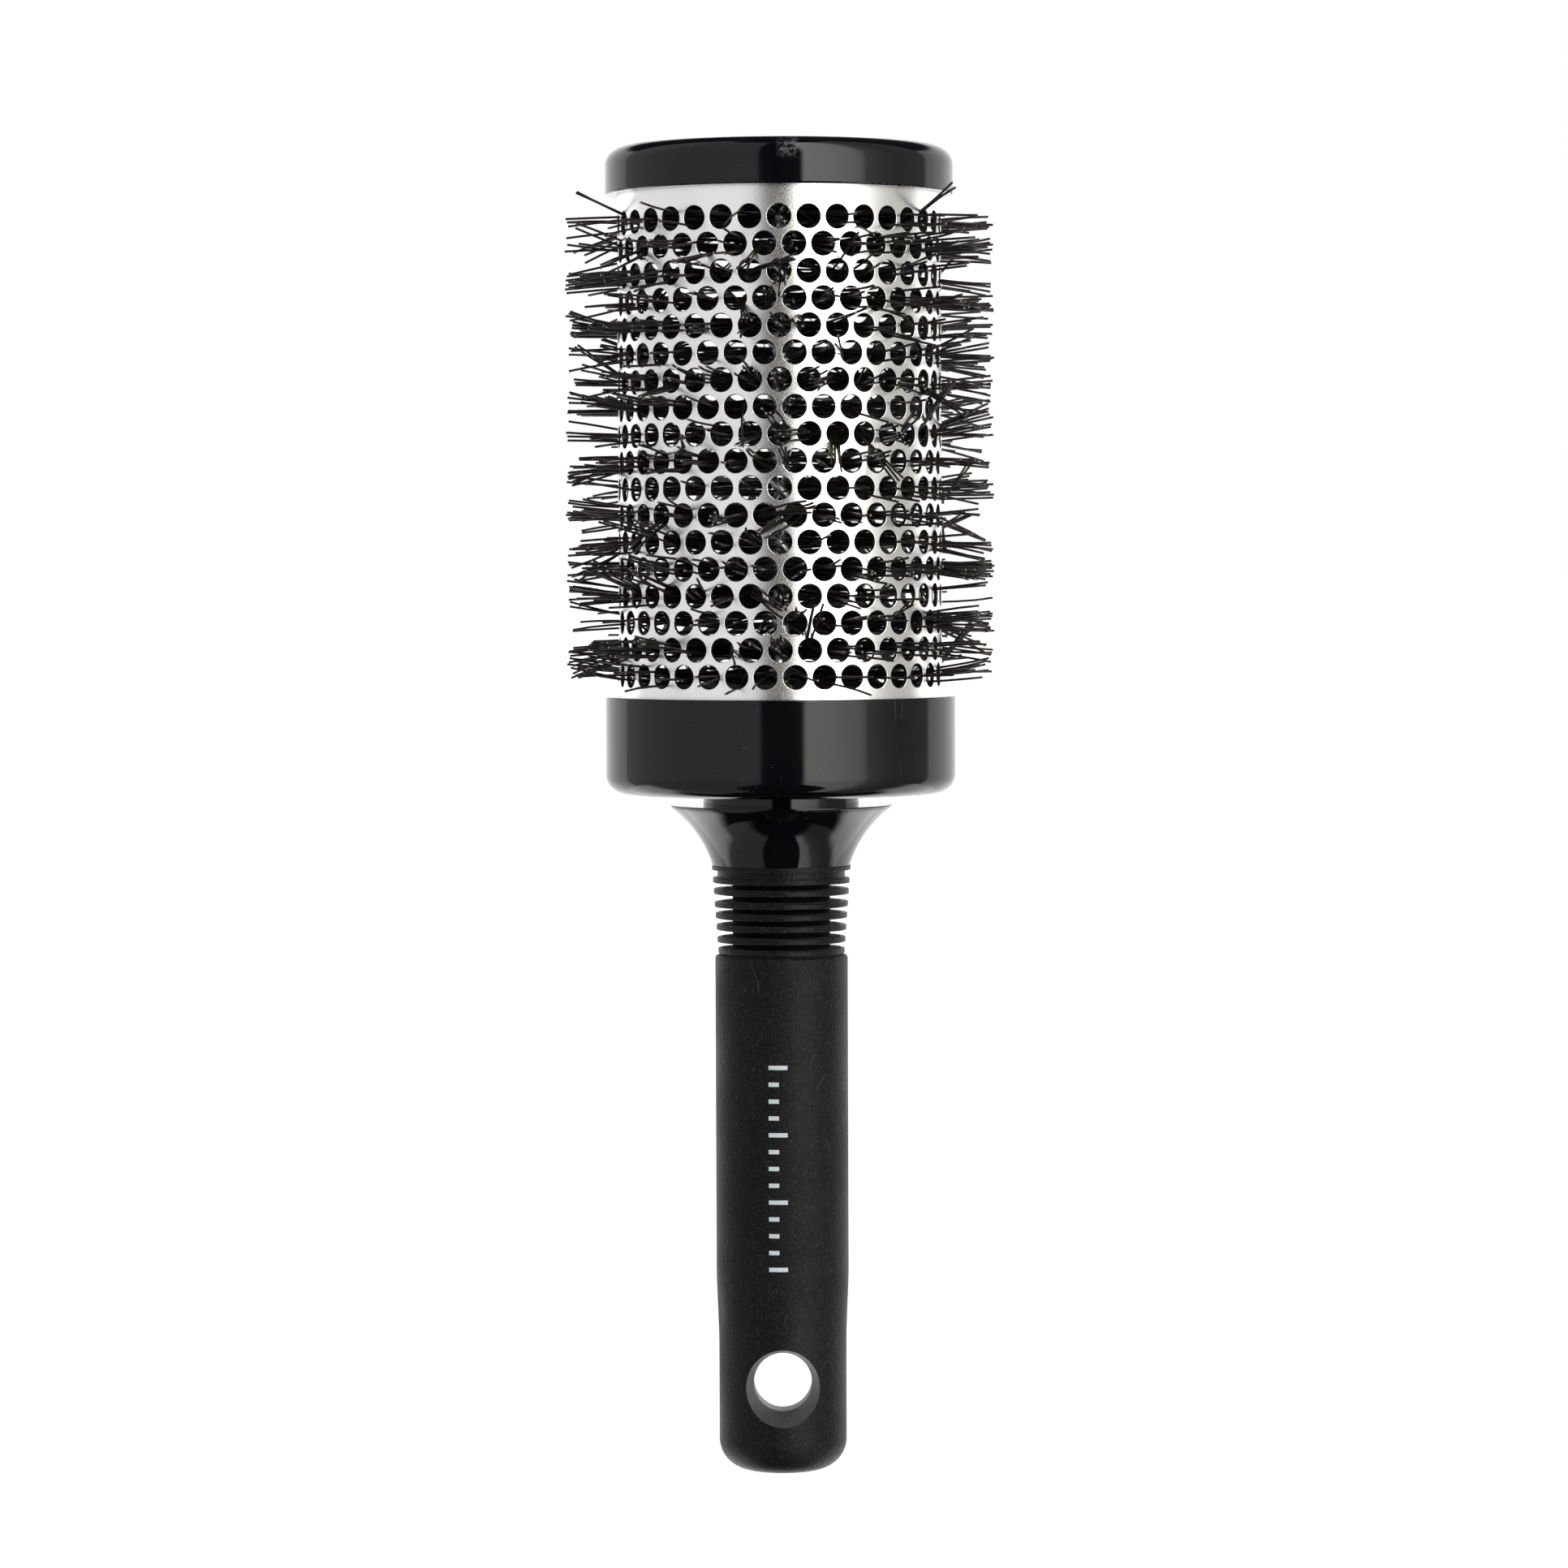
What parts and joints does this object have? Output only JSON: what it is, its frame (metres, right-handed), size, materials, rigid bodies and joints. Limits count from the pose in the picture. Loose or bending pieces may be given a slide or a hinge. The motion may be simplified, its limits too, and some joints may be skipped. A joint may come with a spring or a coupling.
{
  "type": "round barrel brush",
  "caption": "Round thermal hair brush: perforated aluminium barrel with nylon bristles, gloss end cap and collar, flared neck, ribbed rubber sleeve and rubber grip with a hanging hole.",
  "frame": {"origin": "centre of the hanging hole, on the brush axis", "axes": "+Z along the brush axis from the handle to the tip cap, +Y along the hanging hole's axis, -Y the face a user sees first"},
  "size_m": [0.071, 0.071, 0.2171],
  "materials": {
    "gloss_black": "polished black ABS with fine dust and hairline scratches",
    "barrel_aluminium": "bright aluminium tube with a fine pitted sparkle and clean-cut holes",
    "soft_rubber": "matte soft-touch rubber with a fine grain",
    "steel_wire": "drawn galvanised wire",
    "nylon_bristle": "extruded black nylon filament with flat-cut tips"
  },
  "bodies": {
    "root": {"tip_cap": "gloss_black", "barrel_tube": "barrel_aluminium", "barrel_collar": "gloss_black", "handle_core": "gloss_black", "ribbed_sleeve": "soft_rubber", "grip_sleeve": "soft_rubber", "wire_strand_a": "steel_wire", "wire_strand_b": "steel_wire", "bristle_row_01": "nylon_bristle", "bristle_row_02": "nylon_bristle", "bristle_row_03": "nylon_bristle", "bristle_row_04": "nylon_bristle", "bristle_row_05": "nylon_bristle", "bristle_row_06": "nylon_bristle", "bristle_row_07": "nylon_bristle", "bristle_row_08": "nylon_bristle", "bristle_row_09": "nylon_bristle", "bristle_row_10": "nylon_bristle", "bristle_row_11": "nylon_bristle", "bristle_row_12": "nylon_bristle", "bristle_row_13": "nylon_bristle", "bristle_row_14": "nylon_bristle", "bristle_row_15": "nylon_bristle", "bristle_row_16": "nylon_bristle", "bristle_row_17": "nylon_bristle", "bristle_row_18": "nylon_bristle"}
  },
  "joints": []
}
